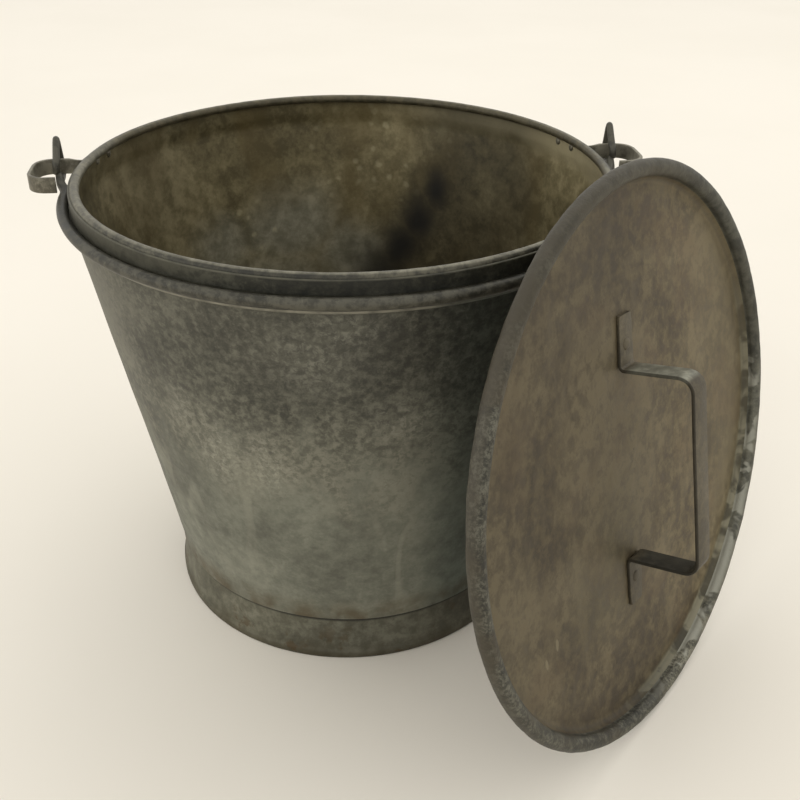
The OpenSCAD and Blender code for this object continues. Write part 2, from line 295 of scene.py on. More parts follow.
def make_inside():
    s = Mat("zinc_inside")
    x, y, z = s.sep()
    w = s.wobble(0.03, 22)
    col, h, mot = patina(s, lin(58, 52, 33, K), lin(84, 77, 55, K), lin(112, 104, 80, K), 0.7, 90, (0.7, 0.3, 0.0))
    # olive varnish runs
    run = s.noise(26, 3, 0.55, 0.4, s.mapping(scale=(1, 1, 0.3)))
    col = s.mix(s.mapr(run, 0.42, 0.68, 0.0, 0.55), col, lin(66, 56, 30, K))
    # bare bluish zinc
    blue = s.max(s.blob((-32, 139, 185), 44, 0.8, (0.8, 1, 1), w), s.blob((-80, 114, 176), 40, 0.8, (1, 1, 1.1), w),
                 s.blob((12, 136, 160), 42, 0.8, (1, 1, 1), w), s.blob((-40, 120, 120), 70, 0.7, (1, 1, 1), w))
    col = s.mix(s.math("MULTIPLY", blue, 0.75), col, s.ramp(s.mapr(mot, 0.3, 0.7), [(0, lin(82, 81, 70, K)), (1, lin(116, 114, 102, K))]))
    # pale oxide freckles
    fr = s.math("MULTIPLY", s.mapr(s.vor(95, s.wobble(0.006, 120)), 0.10, 0.30, 1.0, 0.0),
                s.max(s.blob((50, 145, 240), 55, 0.8, (1, 1, 1), w), s.blob((0, 150, 225), 40, 0.8, (1, 1, 1), w), s.blob((-60, 130, 190), 40, 0.8, (1, 1, 1), w)))
    col = s.mix(s.math("MULTIPLY", fr, 0.35), col, lin(142, 136, 112, K))
    # painted light: a lighter patch at the right of the mouth and a lighter band along the top of the wall on the
    # right
    painted_light_patch = s.mapr(s.math("ADD", s.math("MULTIPLY", s.math("SUBTRACT", x, 0.150), 3.4), s.math("MULTIPLY", s.math("SUBTRACT", z, 0.262), 1.6)), -0.012, 0.012)
    painted_light_patch = s.math("MULTIPLY", painted_light_patch, s.mapr(y, -0.03, 0.02))
    painted_light_band = s.math("MULTIPLY", s.mapr(s.math("ADD", z, s.math("MULTIPLY", s.noise(30, 3), 0.02)), 0.262, 0.276), s.mapr(x, 0.02, 0.13))
    col = s.mix(s.math("MULTIPLY", s.max(painted_light_patch, painted_light_band), 0.7), col, lin(124, 117, 96, K))
    # a black streak down the inner wall
    st = s.max(s.blob((77, 126, 212), 17, 0.9, (1, 1, 0.8), w), s.blob((62, 128, 190), 27, 0.9, (1, 1, 0.8), w), s.blob((50, 129, 168), 32, 0.9, (1, 1, 0.8), w), s.blob((38, 126, 140), 44, 0.9, (1, 1, 0.7), w))
    col = s.mix(s.math("MULTIPLY", st, 0.97), col, lin(8, 7, 4, K))
    # painted shade: the lower wall darker, down inside the bucket
    col = s.mix(s.mapr(z, 0.05, 0.17, 0.55, 0.0), col, lin(50, 45, 30, K))
    rough = s.mapr(mot, 0.3, 0.7, 0.50, 0.68, False)
    n1 = s.bump(s.noise(16, 2, 0.5, 0.2), 0.2, 0.003)
    n2 = s.bump(h, 0.2, 0.0006, n1)
    # painted light and shade: darker at the far left, lighter across the middle, darker right of centre and lighter
    # again at the far right
    g = s.math("MULTIPLY", s.mapr(x, -0.13, -0.07, 0.88, 1.30), s.mapr(x, 0.045, 0.085, 1.0, 0.55))
    g = s.math("MULTIPLY", g, s.mapr(x, 0.122, 0.140, 1.0, 1.9))
    return s.finish(col, rough, 0.25, n2, gain=s.mix(1.0, g, (1.03, 1.02, 0.96, 1.0), "MULTIPLY"))


def make_rim():
    s = Mat("rim_edge")
    x, y, z = s.sep()
    rr = s.vmath("LENGTH", s.comb(x, y, 0.0), out=1)
    # outer side dark like the collar, inner side brown like the mouth
    col, h, mot = patina(s, lin(40, 39, 32, K), lin(60, 58, 48, K), lin(92, 89, 75, K), 1.0, 190, (0.2, 0.0, 0.4))
    col = s.mix(s.mapr(rr, 0.1508, 0.1520, 1.0, 0.0), col, s.ramp(s.mapr(mot, 0.3, 0.7), [(0, lin(62, 57, 40, K)), (1, lin(92, 85, 64, K))]))
    # paler along the top, partly rubbed wear and partly painted highlight where the top faces the light, strongest at
    # the front; painted highlight all over at the left
    pale = s.ramp(s.mapr(mot, 0.3, 0.7), [(0, lin(88, 85, 71, K)), (1, lin(140, 136, 119, K))])
    front = s.mapr(y, 0.05, -0.08, 0.62, 1.0)
    wear = s.mapr(s.noise(45, 3, 0.6), 0.28, 0.6, 0.45, 1.0)
    top = s.math("MULTIPLY", s.math("MULTIPLY", s.mapr(z, 0.2753, 0.2760), front), wear)
    left = s.math("MULTIPLY", s.math("MULTIPLY", s.mapr(x, -0.120, -0.146), s.mapr(y, 0.075, 0.045)), 0.75)
    col = s.mix(s.max(top, left), col, pale)
    rough = s.mapr(mot, 0.3, 0.7, 0.42, 0.62, False)
    return s.finish(col, rough, 0.35, s.bump(h, 0.35, 0.0006), gain=(0.66, 0.66, 0.66, 1.0))


def make_band():
    s = Mat("dark_collar")
    x, y, z = s.sep()
    col, h, mot = patina(s, lin(36, 36, 30, K), lin(54, 53, 44, K), lin(84, 82, 70, K), 1.0, 170, (0.4, 0.6, 0.0))
    # painted light: lighter where it turns to the left, towards the light
    col = s.mix(s.mapr(x, -0.06, -0.15, 0.0, 0.55), col, lin(100, 96, 80, K))
    # painted highlight along the lower lip, which turns up to the light
    lip_highlight = s.math("MULTIPLY", s.mapr(z, 0.2652, 0.2666, 1.0, 0.0), s.mapr(s.noise(80, 3, 0.6), 0.3, 0.6, 0.35, 0.9))
    col = s.mix(lip_highlight, col, lin(122, 118, 102, K))
    # painted highlight along the top edge of the band
    top = s.math("MULTIPLY", s.mapr(z, 0.2730, 0.2739), s.mapr(s.noise(70, 3, 0.6), 0.3, 0.6, 0.2, 0.8))
    col = s.mix(top, col, lin(108, 104, 88, K))
    rough = s.mapr(mot, 0.3, 0.7, 0.46, 0.64, False)
    return s.finish(col, rough, 0.4, s.bump(h, 0.3, 0.0006), gain=(0.46, 0.47, 0.46, 1.0))


def make_foot():
    s = Mat("zinc_foot")
    x, y, z = s.sep()
    col, h, mot = patina(s, lin(70, 68, 56, K), lin(94, 92, 77, K), lin(122, 120, 104, K), 0.8, 130, (0.1, 0.5, 0.3))
    streak = s.noise(40, 3, 0.6, 0.3, s.mapping(scale=(1, 1, 0.35)))
    br = s.mapr(s.math("ADD", z, s.math("MULTIPLY", s.math("SUBTRACT", streak, 0.5), 0.03)), -0.004, 0.014, 0.85, 0.0)
    col = s.mix(br, col, lin(66, 58, 36, K))
    rust = s.math("MULTIPLY", s.mapr(s.noise(75, 4, 0.65), 0.56, 0.68), s.mapr(z, 0.0, 0.034, 0.8, 0.15))
    col = s.mix(rust, col, lin(74, 58, 30, K))
    # painted shadow under the lap of the body
    col = s.mix(s.mapr(z, 0.0272, 0.0292, 0.0, 0.9), col, lin(22, 20, 14, K))
    rough = s.mapr(mot, 0.3, 0.7, 0.5, 0.7, False)
    n1 = s.bump(s.noise(20, 2, 0.5), 0.25, 0.003)
    # painted shade: darker towards the right, where the lid shades the foot
    return s.finish(col, rough, 0.3, s.bump(h, 0.25, 0.0006, n1), gain=s.mapr(x, -0.075, -0.01, 0.70, 0.52))


def make_base():
    s = Mat("zinc_base")
    col, h, mot = patina(s, lin(46, 42, 30, K), lin(72, 68, 54, K), lin(104, 100, 86, K), 0.8, 85, (0.9, 0.2, 0.1))
    wet = s.mapr(s.noise(9, 4, 0.6, 0.8), 0.45, 0.6, 0.0, 0.6)
    col = s.mix(wet, col, lin(48, 42, 26, K))
    rust = s.mapr(s.noise(34, 5, 0.7, 0.5), 0.60, 0.70, 0.0, 0.6)
    col = s.mix(rust, col, lin(92, 62, 32, K))
    return s.finish(col, s.mapr(mot, 0.3, 0.7, 0.5, 0.72, False), 0.25, s.bump(h, 0.3, 0.0008))


def make_wire(name, a, b, c, grain=240, metallic=0.45, rough=(0.38, 0.6), g=0.75):
    s = Mat(name)
    col, h, mot = patina(s, a, b, c, 1.0, grain, (0.33, 0.21, 0.0))
    sp = s.mapr(s.noise(grain * 2.2, 3, 0.7), 0.60, 0.72, 0.0, 0.5)
    col = s.mix(sp, col, tuple(min(1, v * 1.5) for v in c[:3]) + (1.0,))
    return s.finish(col, s.mapr(mot, 0.3, 0.7, rough[0], rough[1], False), metallic, s.bump(h, 0.35, 0.0005), gain=(g, g, g, 1.0))


def polar(s, k_r, k_a, seed=0.0):
    """Coordinates that follow rings about the lid's centre, so a noise on them runs in arcs."""
    x, y, z = s.sep()
    v = s.comb(x, y, 0.0)
    r = s.vmath("LENGTH", v, out=1)
    d = s.vmath("SCALE", s.vmath("NORMALIZE", v), scale=k_a)
    dx, dy, dz = s.sep(d)
    return s.comb(dx, dy, s.math("ADD", s.math("MULTIPLY", r, k_r), seed)), r


def make_lid():
    s = Mat("lid_panel", LID)
    x, y, z = s.sep()
    v, r = polar(s, 1.0, 0.030)
    col, h, mot = patina(s, lin(62, 54, 40, K), lin(86, 78, 60, K), lin(110, 102, 83, K), 1.1, 130, (0.6, 0.1, 0.7))
    arcs = s.noise(62, 4, 0.6, 0.25, v)
    col = s.mix(s.mapr(arcs, 0.50, 0.68, 0.0, 0.26), col, lin(112, 104, 84, K))
    col = s.mix(s.mapr(s.noise(40, 3, 0.55, 0.2, s.vmath("ADD", v, (0.4, 0.7, 0.1))), 0.50, 0.66, 0.0, 0.26), col, lin(68, 58, 44, K))
    # vertical wipes
    wipe = s.noise(34, 4, 0.6, 0.3, s.mapping(scale=(0.22, 1.0, 1.0), loc=(0.2, 0.35, 0)))
    col = s.mix(s.mapr(wipe, 0.52, 0.68, 0.0, 0.28), col, lin(116, 108, 88, K))
    col = s.mix(s.mapr(wipe, 0.30, 0.44, 0.24, 0.0), col, lin(70, 60, 46, K))
    # greyer towards the middle of the lower half and greener near the right edge
    w = s.wobble(0.03, 24)
    col = s.mix(s.math("MULTIPLY", s.blob((50, -40, -5), 62, 0.9, (1, 1, 1), w), 0.35), col, lin(104, 100, 82, K))
    col = s.mix(s.math("MULTIPLY", s.mapr(y, 0.06, 0.13), 0.35), col, lin(108, 102, 84, K))
    # warm brown patches
    warm = s.mapr(s.noise(17, 4, 0.6, 0.4, s.mapping(loc=(0.1, 0.2, 0.3))), 0.50, 0.66, 0.0, 0.24)
    col = s.mix(warm, col, lin(92, 76, 58, K))
    # blotches of bare bluish zinc in the corner of the pan, lower right
    side = s.math("MULTIPLY", s.mapr(r, 0.1435, 0.1480), s.mapr(s.math("ADD", s.math("MULTIPLY", x, 0.7), s.math("MULTIPLY", y, 0.75)), 0.05, 0.12))
    bl = s.math("MULTIPLY", side, s.mapr(s.noise(48, 3, 0.55, 0.5), 0.44, 0.56))
    col = s.mix(s.math("MULTIPLY", side, 0.7), col, lin(58, 60, 52, K))
    col = s.mix(s.math("MULTIPLY", bl, 0.8), col, lin(134, 133, 120, K))
    # pale chips
    chips = s.max(s.blob((60.6, -93.4, -5), 2.6, 0.4, (0.6, 1.8, 1), s.wobble(0.003, 200)), s.blob((65.4, -104.1, -5), 2.2, 0.4, (0.6, 1.6, 1), s.wobble(0.003, 200)))
    col = s.mix(s.math("MULTIPLY", chips, 0.55), col, lin(140, 134, 115, K))
    specks = s.mapr(s.vor(70, s.wobble(0.01, 60)), 0.03, 0.07, 0.55, 0.0)
    col = s.mix(s.math("MULTIPLY", specks, s.mapr(s.noise(20, 2), 0.5, 0.62)), col, lin(44, 38, 28, K))
    # darker along the corner at the wall
    col = s.mix(s.mapr(s.math("ABSOLUTE", s.math("SUBTRACT", r, 0.1478)), 0.0, 0.0016, 0.35, 0.0), col, lin(44, 38, 26, K))
    rough = s.mapr(mot, 0.3, 0.7, 0.50, 0.68, False)
    n1 = s.bump(arcs, 0.22, 0.0012, s.bump(s.noise(13, 2, 0.5), 0.2, 0.004))
    return s.finish(col, rough, 0.25, s.bump(h, 0.18, 0.0005, n1), gain=s.mix(1.0, s.math("MULTIPLY", s.mapr(y, -0.02, 0.07, 0.57, 0.78), s.mapr(x, 0.03, 0.10, 1.0, 1.14)), (0.96, 0.90, 0.76, 1.0), "MULTIPLY"))


def make_lid_edge():
    s = Mat("lid_edge", LID)
    x, y, z = s.sep()
    v, r = polar(s, 1.0, 0.09)
    # salt and pepper zinc
    sp = s.noise(560, 3, 0.75, 0.2)
    md = s.noise(120, 3, 0.6, 0.3)
    f = s.math("ADD", s.math("MULTIPLY", s.mapr(sp, 0.36, 0.64), 0.62), s.math("MULTIPLY", s.mapr(md, 0.34, 0.66), 0.38))
    col = s.ramp(f, [(0.12, lin(50, 48, 40, K)), (0.5, lin(82, 80, 67, K)), (0.92, lin(128, 125, 110, K))])
    brown = s.mapr(s.noise(26, 4, 0.6, 0.4), 0.46, 0.62, 0.0, 0.6)
    col = s.mix(brown, col, lin(84, 74, 55, K))
    col = s.mix(s.mapr(x, -0.09, -0.135, 0.0, 0.6), col, lin(77, 70, 52, K))
    # cleaner and bluer on the right, with large pale plates lower right
    rt = s.mapr(y, 0.02, 0.10)
    col = s.mix(s.math("MULTIPLY", rt, 0.8), col, s.ramp(s.mapr(md, 0.35, 0.65), [(0, lin(58, 58, 50, K)), (1, lin(92, 91, 79, K))]))
    lr = s.mapr(s.math("ADD", s.math("MULTIPLY", x, 0.72), s.math("MULTIPLY", y, 0.70)), 0.08, 0.125)
    inner = s.mapr(r, 0.1500, 0.1540, 1.0, 0.0)
    plates = s.mapr(s.noise(52, 3, 0.5, 0.6, s.mapping(loc=(0.2, 0.2, 0.2))), 0.47, 0.53)
    col = s.mix(s.math("MULTIPLY", s.math("MULTIPLY", lr, plates), s.math("ADD", s.math("MULTIPLY", inner, 0.75), 0.10)), col, lin(140, 139, 127, K))
    # the outside of the roll is brown and dull
    col = s.mix(s.mapr(r, 0.1562, 0.1582, 0.0, 0.5), col, lin(84, 77, 62, K))
    rough = s.mapr(sp, 0.3, 0.7, 0.45, 0.7, False)
    n1 = s.bump(s.noise(60, 2, 0.5), 0.25, 0.0012)
    return s.finish(col, rough, 0.3, s.bump(s.math("ADD", sp, s.math("MULTIPLY", md, 0.6)), 0.35, 0.0006, n1), gain=s.math("MAXIMUM", s.mapr(y, -0.05, 0.10, 0.42, 0.50), s.math("MULTIPLY", lr, 0.85)))


def make_strap():
    s = Mat("lid_strap", HM)
    col, h, mot = patina(s, lin(70, 63, 48, K), lin(94, 86, 68, K), lin(118, 110, 92, K), 0.8, 170, (0.5, 0.8, 0.2))
    g = s.nt.nodes.new("ShaderNodeNewGeometry").outputs["Normal"]
    x, y, z = s.sep()
    # risers are bare grey zinc, lighter at the top end, with the riser at -x painted lit and the riser at +x painted
    # in shade; the outer face is brown like the panel
    hgt = s.mapr(z, -0.002, 0.004)
    grey = s.math("MULTIPLY", hgt, s.mapr(z, 0.0315, 0.0345, 1.0, 0.0))
    riser_lit_and_shaded = s.mix(s.mapr(x, -0.005, 0.005), s.ramp(s.mapr(mot, 0.3, 0.7), [(0, lin(116, 115, 101, K)), (1, lin(162, 161, 144, K))]),
                  s.ramp(s.mapr(mot, 0.3, 0.7), [(0, lin(40, 39, 32, K)), (1, lin(64, 62, 52, K))]))
    col = s.mix(s.math("MULTIPLY", grey, 0.9), col, riser_lit_and_shaded)
    # painted shade on the narrow side faces of the strap
    side = s.mapr(s.math("ABSOLUTE", y), 0.0064, 0.0068, 0.0, 0.7)
    col = s.mix(side, col, lin(40, 37, 29, K))
    dk = s.mapr(s.noise(95, 3, 0.6), 0.54, 0.68, 0.0, 0.3)
    col = s.mix(dk, col, lin(56, 52, 42, K))
    return s.finish(col, s.mapr(mot, 0.3, 0.7, 0.46, 0.66, False), 0.3, s.bump(h, 0.3, 0.0006), gain=(0.66, 0.66, 0.66, 1.0))


MAT = dict(
    out=make_outside(), inn=make_inside(), rim=make_rim(), band=make_band(), foot=make_foot(), base=make_base(),
    wire=make_wire("steel_wire", lin(56, 52, 42, K), lin(86, 82, 68, K), lin(118, 114, 98, K)),
    bail=make_wire("bail_rod", lin(46, 45, 38, K), lin(68, 66, 56, K), lin(100, 97, 84, K), 200, 0.4, (0.40, 0.58), 0.46),
    ear=make_wire("ear_strap", lin(70, 66, 54, K), lin(104, 99, 84, K), lin(146, 141, 124, K), 130, 0.35, (0.44, 0.62), 0.55),
    rivet=make_wire("rivet_head", lin(82, 76, 60, K), lin(116, 110, 92, K), lin(150, 145, 126, K), 260, 0.4, (0.4, 0.6), 0.55),
    lid=make_lid(), lid_edge=make_lid_edge(), strap=make_strap(),
)

# ---------------------------------------------------------------- mesh helpers


def build(name, verts, faces, mats, body, nodes=(), slot=None, matrix=None, index=None, sharp=40):
    me = bpy.data.meshes.new(name)
    if matrix is not None:
        verts = [(matrix @ (Vector(v) * MM)) / MM for v in verts]
    me.from_pydata([tuple(float(c) * MM for c in v) for v in verts], [], faces)
    me.update()
    for mt in mats:
        me.materials.append(mt)
    me.polygons.foreach_set("use_smooth", [True] * len(me.polygons))
    if index is not None:
        me.polygons.foreach_set("material_index", index)
    me.set_sharp_from_angle(angle=math.radians(sharp))
    ob = bpy.data.objects.new(name, me)
    scene.collection.objects.link(ob)
    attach(ob, body)
    if nodes:
        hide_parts(*nodes)
    return ob


def arc(cx, cz, r, a0, a1, n):
    return [(cx + r * math.cos(math.radians(a0 + (a1 - a0) * i / n)), cz + r * math.sin(math.radians(a0 + (a1 - a0) * i / n))) for i in range(n + 1)]


def line(a, b, n):
    return [(a[0] + (b[0] - a[0]) * i / n, a[1] + (b[1] - a[1]) * i / n) for i in range(n + 1)]


def fillet(pts, r, n=4, closed=True):
    """Rounds the corners of a profile."""
    out, m_ = [], len(pts)
    for i, p in enumerate(pts):
        rad = r[i] if isinstance(r, (list, tuple)) else r
        if rad <= 0 or (not closed and i in (0, m_ - 1)):
            out.append(p)
            continue
        a, b = Vector(pts[i - 1]), Vector(pts[(i + 1) % m_])
        c = Vector(p)
        u, v = (a - c), (b - c)
        lu, lv = u.length, v.length
        u.normalize(); v.normalize()
        t = min(rad, lu * 0.45, lv * 0.45)
        p0, p1 = c + u * t, c + v * t
        for k in range(n + 1):
            q = k / n
            s_ = p0 * (1 - q) ** 2 + c * 2 * q * (1 - q) + p1 * q * q
            out.append((s_.x, s_.y))
    return out


def lathe(name, prof, mats, body, n=360, closed=True, disp=None, mat_of=None, **kw):
    """Turns a profile of (radius, height) about Z. Points on the axis become one vertex."""
    verts, rows = [], []
    for j, (r, z) in enumerate(prof):
        if r < 1e-6:
            rows.append([len(verts)] * n)
            verts.append((0, 0, z))
            continue
        row = []
        for i in range(n):
            a = 2 * math.pi * i / n
            rr, zz = r, z
            if disp:
                dr, dz = disp(r, z, a, j)
                rr, zz = r + dr, z + dz
            row.append(len(verts))
            verts.append((rr * math.cos(a), rr * math.sin(a), zz))
        rows.append(row)
    faces, idx = [], []
    for j in range(len(prof) if closed else len(prof) - 1):
        A, B = rows[j], rows[(j + 1) % len(prof)]
        if A[0] == A[1] and B[0] == B[1]:
            continue
        for i in range(n):
            k = (i + 1) % n
            f = (A[i], A[k], B[k], B[i]) if A[0] != A[1] and B[0] != B[1] else ((A[i], B[k], B[i]) if A[0] == A[1] else (A[i], A[k], B[i]))
            faces.append(f)
            idx.append(mat_of(j) if mat_of else 0)
    return build(name, verts, faces, mats, body, index=idx, **kw)


def ringnoise(a, k, seed, r=1.0):
    return noise.noise(Vector((math.cos(a) * k * r, math.sin(a) * k * r, seed)))


def sweep(name, pts, sections, mats, body, up=None, closed=False, caps=True, **kw):
    """Carries a cross-section along points. sections is a function of (i, s) giving 2-D points; up fixes the frame, or the frame is carried along."""
    P = [Vector(p) for p in pts]
    m_ = len(P)
    tang = []
    for i in range(m_):
        a = P[max(i - 1, 0)]
        b = P[min(i + 1, m_ - 1)]
        tang.append((b - a).normalized())
    if up is None:
        t0 = tang[0]
        ref = Vector((0, 0, 1)) if abs(t0.z) < 0.9 else Vector((1, 0, 0))
        nrm = t0.cross(ref).normalized()
    length = [0.0]
    for i in range(1, m_):
        length.append(length[-1] + (P[i] - P[i - 1]).length)
    verts, k = [], None
    for i in range(m_):
        t = tang[i]
        if up is not None:
            v = Vector(up)
            u = t.cross(v).normalized()
            v = u.cross(t).normalized()
        else:
            if i:
                nrm = (nrm - t * nrm.dot(t)).normalized()
            u, v = nrm, t.cross(nrm)
        sec = sections(i, length[i])
        k = len(sec)
        for (a, b) in sec:
            verts.append(P[i] + u * a + v * b)
    faces = []
    for i in range(m_ - 1):
        for j in range(k):
            q = (j + 1) % k
            faces.append((i * k + j, i * k + q, (i + 1) * k + q, (i + 1) * k + j))
    if caps:
        for i, rev in ((0, True), (m_ - 1, False)):
            ring = [i * k + j for j in range(k)]
            c = len(verts)
            verts.append(sum((Vector(verts[q]) for q in ring), Vector()) / k)
            for j in range(k):
                q = (j + 1) % k
                faces.append((c, ring[q], ring[j]) if rev else (c, ring[j], ring[q]))
    return build(name, verts, faces, mats, body, **kw)


def rrect(w, h, r, n=3):
    """Rounded rectangle, w by h."""
    out = []
    for cx, cy, a0 in ((w / 2 - r, h / 2 - r, 0), (-w / 2 + r, h / 2 - r, 90), (-w / 2 + r, -h / 2 + r, 180), (w / 2 - r, -h / 2 + r, 270)):
        out += [(cx + r * math.cos(math.radians(a0 + 90 * i / n)), cy + r * math.sin(math.radians(a0 + 90 * i / n))) for i in range(n + 1)]
    return out


def smooth_path(pts, n):
    """Catmull-Rom through points, with n steps between each pair."""
    P = [Vector(p) for p in pts]
    out = []
    for i in range(len(P) - 1):
        p0, p1, p2, p3 = P[max(i - 1, 0)], P[i], P[i + 1], P[min(i + 2, len(P) - 1)]
        for k in range(n):
            t = k / n
            out.append(0.5 * ((2 * p1) + (p2 - p0) * t + (2 * p0 - 5 * p1 + 4 * p2 - p3) * t * t + (3 * p1 - p0 - 3 * p2 + p3) * t ** 3))
    out.append(P[-1])
    return out


# ---------------------------------------------------------------- bucket
SL = (155.2 - 116.0) / (255.2 - 31.0)
def body_out(z): return 116.0 + (z - 31.0) * SL


def rim_wave(a):
    """Small unevenness of the rim, in mm."""
    return 0.16 * ringnoise(a, 1.6, 3.1) + 0.10 * ringnoise(a, 5, 7.7)


def shell_disp(r, z, a, j):
    dr = dz = 0.0
    f = max(0.0, min(1.0, (z - 48) / 30)) * max(0.0, min(1.0, (250 - z) / 20))
    if f > 0:
        dr += f * (0.55 * noise.noise(Vector((math.cos(a) * 2.1, math.sin(a) * 2.1, z / 70))) + 0.28 * noise.noise(Vector((math.cos(a) * 5, math.sin(a) * 5, z / 26 + 9))))
    if z < 40:   # the lower edge stands a little off the foot
        g = (40 - z) / 9
        dr += g * g * (0.78 + 0.25 * ringnoise(a, 1.5, 5.0))
        dz += 0.35 * ringnoise(a, 2.2, 8.0) * max(0.0, min(1.0, (36 - z) / 5))
    if z > 262.5:
        dz += rim_wave(a) * min(1.0, (z - 262.5) / 8)
    if z > 274.6:
        dz += 0.10 * ringnoise(a, 30, 1.0)
    return dr, dz


outer = line((body_out(31.0), 31.0), (body_out(254.2), 254.2), 44)
outer += [(155.22, 255.2), (155.32, 256.2), (155.6, 257.05)]
outer += arc(155.0, 259.2, 2.3, -58, 62, 14)
outer += [(155.75, 261.7), (155.2, 262.4), (154.55, 262.9), (154.25, 263.5), (154.2, 264.2), (154.2, 265.0)]
n_out = len(outer)
outer += line((154.2, 266.0), (154.2, 273.0), 5)
curl_a = arc(151.6, 273.4, 2.6, 0, 236, 22)
curl_b = arc(151.6, 273.4, 1.75, 236, 4, 18)
n_curl = len(outer)
inner = [(153.25, 272.0), (153.2, 268.0), (153.2, 264.5), (153.3, 262.4), (153.6, 260.6), (153.95, 258.8), (154.12, 257.0), (154.18, 255.4)]
inner += line((body_out(253.6) - 1.0, 253.6), (body_out(31.0) - 1.0, 31.0), 44)
prof = outer + curl_a + curl_b + inner
n_ca, n_cb = len(outer), len(outer) + len(curl_a)
def shell_mat(j):
    if j < n_out + 2: return 0
    if j < n_ca - 1: return 0
    if j < n_cb + len(curl_b) - 1: return 2
    return 1
shell = lathe("body_shell_sheet", prof, [MAT["out"], MAT["inn"], MAT["rim"]], "bucket", n=432, disp=shell_disp, mat_of=shell_mat, nodes=("body_shell",), slot="zinc_sheet", sharp=50)

# folded side seam, inside the wall
def seam_mesh():
    verts, faces = [], []
    z0, z1, m_ = 45.0, 251.2, 60
    az0, half = math.radians(-28), math.radians(2.0)
    cols = [(-1.0, 0.05), (-0.93, 0.75), (-0.80, 1.08), (-0.4, 1.16), (0.0, 1.12), (0.4, 1.16), (0.80, 1.08), (0.93, 0.75), (1.0, 0.05)]
    for i in range(m_ + 1):
        z = z0 + (z1 - z0) * i / m_
        taper = min(1.0, i / 2.0, (m_ - i) / 2.0) if 0 < i < m_ else 0.05
        for u, h in cols:
            a = az0 + half * u
            d, _ = shell_disp(body_out(z) - 1, z, a, 0)
            r = body_out(z) - 1.0 + d - h * taper + (0.25 if h < 0.1 else 0)
            verts.append((r * math.cos(a), r * math.sin(a), z))
        # back of the fold, buried in the wall
        for u in (1.0, -1.0):
            a = az0 + half * u
            d, _ = shell_disp(body_out(z) - 1, z, a, 0)
            verts.append(((body_out(z) - 0.6 + d) * math.cos(a), (body_out(z) - 0.6 + d) * math.sin(a), z))
    k = len(cols) + 2
    for i in range(m_):
        for j in range(k):
            q = (j + 1) % k
            faces.append((i * k + j, (i + 1) * k + j, (i + 1) * k + q, i * k + q))
    faces.append(tuple(range(k)))
    faces.append(tuple(m_ * k + j for j in reversed(range(k))))
    return verts, faces
sv, sf = seam_mesh()
build("side_seam_fold", sv, sf, [MAT["inn"]], "bucket", slot="zinc_sheet", sharp=60)

# rim wire inside the rolled edge
lathe("rim_wire_rod", arc(151.6, 273.4, 1.6, 0, 345, 15), [MAT["wire"]], "bucket", n=240, disp=lambda r, z, a, j: (0, rim_wave(a)), nodes=("rim_wire",), slot="wire")

# band round the neck
bp = arc(154.75, 265.65, 0.85, 180, 340, 8) + [(155.42, 266.6), (155.3, 267.6)] + line((155.26, 268.4), (155.26, 272.6), 4) + arc(154.7, 273.35, 0.62, 10, 95, 5) + [(154.26, 273.9), (154.24, 270.0), (154.24, 266.8)]
lathe("rim_band_strip", bp, [MAT["band"]], "bucket", n=432, disp=lambda r, z, a, j: (0.05 * ringnoise(a, 9, 2.0), rim_wave(a)), nodes=("rim_band",), slot="dark_zinc", sharp=45)

# foot ring with its hem
ft = [(body_out(42) - 1.10, 42.0), (114.92, 31.0)] + line((115.45, 26.0), (117.25, 7.2), 6)
ft += [(117.5, 5.9), (118.0, 5.2), (118.34, 4.3), (118.4, 3.2), (118.4, 1.5)] + arc(117.5, 0.9, 0.9, 0, -90, 5) + [(115.5, 0.0)] + arc(113.9, 1.1, 1.1, -90, -180, 5) + [(112.8, 3.6)] + arc(114.0, 4.4, 1.2, 180, 90, 5) + [(115.4, 5.5), (116.1, 6.4)]
ft += line((115.95, 8.0), (114.2, 26.0), 6) + [(113.72, 31.0), (body_out(42) - 2.3, 42.0)]
def foot_disp(r, z, a, j):
    f = max(0.0, min(1.0, (z - 5) / 6)) * max(0.0, min(1.0, (31 - z) / 5))
    return f * (0.22 * noise.noise(Vector((math.cos(a) * 3, math.sin(a) * 3, z / 15))) + 0.12 * ringnoise(a, 9, 4.0)), (0.0 if z < 0.5 else 0.0)
lathe("foot_ring_sheet", ft, [MAT["foot"]], "bucket", n=360, disp=foot_disp, nodes=("foot_ring",), slot="zinc_sheet", sharp=50)
for nm in ("foot_wire",):
    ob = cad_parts[nm]
    ob.data.materials.clear()
    ob.data.materials.append(MAT["wire"])

# base plate
ri = 116.0 - 1 - 0.06 - 1.2 - 0.06
bt = [(0, 35.25), (25, 35.15), (50, 35.05), (70, 35)] + [(71.5, 35.25), (74, 36.0), (75.5, 36.2), (79, 36.35), (82.5, 36.2), (84, 36.0), (86.5, 35.25), (88, 35)] + [(100, 35.0), (ri - 2.2, 35), (ri - 0.9, 35.5), (ri + 10.5 * SL - 1, 41.5), (ri + 10.5 * SL, 41.5), (ri + 3 * SL, 34.3), (ri - 0.3, 34.0)]
bb = [(100, 34), (88, 34), (83.6, 35.2), (74.4, 35.2), (70, 34), (50, 34.02), (25, 34.15), (0, 34.25)]
lathe("base_plate_disc", bt + bb, [MAT["base"]], "bucket", n=240, closed=False, disp=lambda r, z, a, j: (0, 0.35 * noise.noise(Vector((r * math.cos(a) / 40, r * math.sin(a) / 40, 2))) if 20 < r < 105 else 0), nodes=("base_plate",), slot="zinc_sheet", sharp=50)

# ears: one bent strap each side


